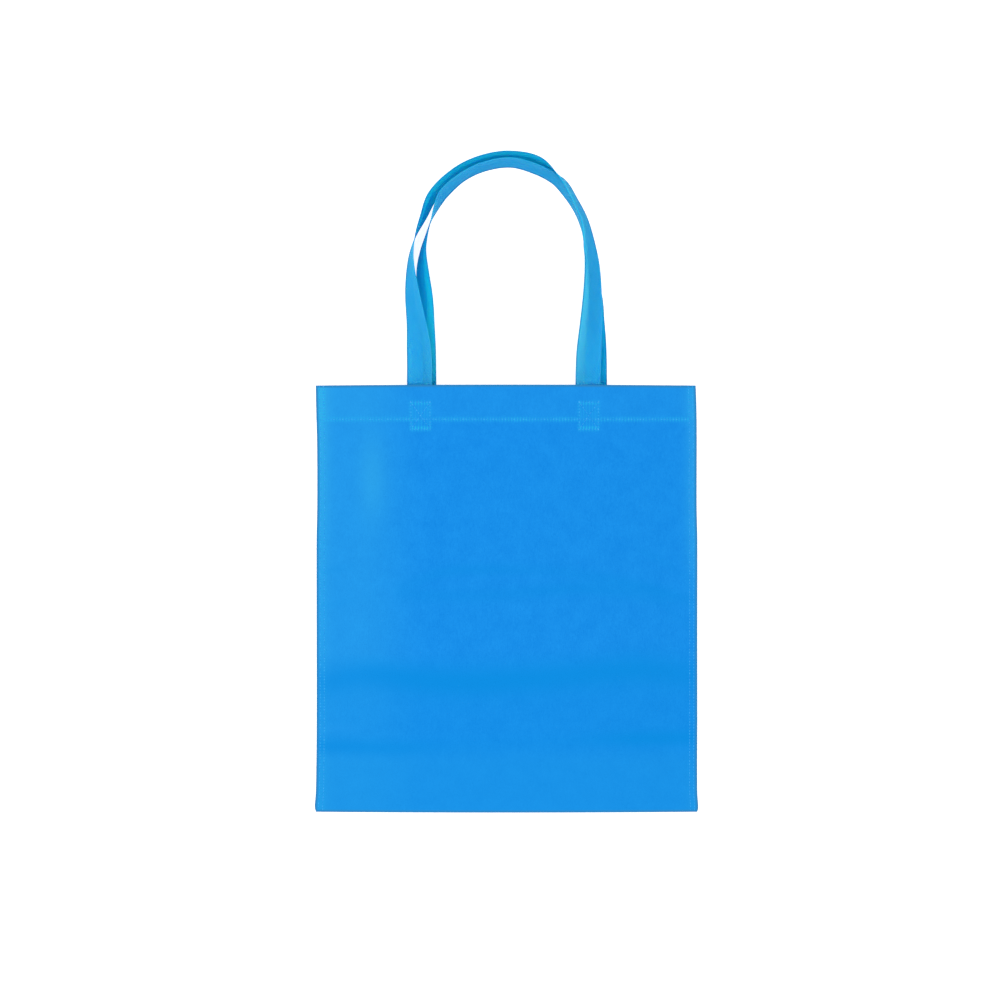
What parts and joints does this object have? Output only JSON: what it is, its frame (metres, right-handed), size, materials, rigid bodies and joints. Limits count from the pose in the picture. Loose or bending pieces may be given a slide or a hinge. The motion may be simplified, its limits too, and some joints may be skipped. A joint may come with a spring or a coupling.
{
  "type": "non-woven bag",
  "caption": "Flat rectangular tote bag of non-woven fabric with hemmed mouth, sewn side seams and two long strap handles, lying flat.",
  "frame": {"origin": "on the resting surface, at the middle of the bag with its handles", "axes": "+Y from the bottom of the bag to its handles, +Z out of the front panel, +X to the right seen from the front"},
  "size_m": [0.38, 0.66, 0.0314],
  "materials": {
    "blue_nonwoven_fabric": "matte spunbond non-woven polypropylene, bright blue, finely bond-pointed",
    "blue_nonwoven_strap": "matte folded non-woven polypropylene strip, bright blue",
    "blue_polyester_thread": "twisted polyester sewing thread, slightly glossy blue"
  },
  "bodies": {
    "root": {"bag_body": "blue_nonwoven_fabric", "front_handle": "blue_nonwoven_strap", "back_handle": "blue_nonwoven_strap", "left_seam_outer_thread_front": "blue_polyester_thread", "left_seam_outer_thread_back": "blue_polyester_thread", "left_seam_inner_thread_front": "blue_polyester_thread", "left_seam_inner_thread_back": "blue_polyester_thread", "right_seam_outer_thread_front": "blue_polyester_thread", "right_seam_outer_thread_back": "blue_polyester_thread", "right_seam_inner_thread_front": "blue_polyester_thread", "right_seam_inner_thread_back": "blue_polyester_thread", "front_hem_thread_outside": "blue_polyester_thread", "front_hem_thread_inside": "blue_polyester_thread", "back_hem_thread_outside": "blue_polyester_thread", "back_hem_thread_inside": "blue_polyester_thread", "front_left_box_thread_outside": "blue_polyester_thread", "front_left_box_thread_inside": "blue_polyester_thread", "front_right_box_thread_outside": "blue_polyester_thread", "front_right_box_thread_inside": "blue_polyester_thread", "back_left_box_thread_outside": "blue_polyester_thread", "back_left_box_thread_inside": "blue_polyester_thread", "back_right_box_thread_outside": "blue_polyester_thread", "back_right_box_thread_inside": "blue_polyester_thread"}
  },
  "joints": []
}
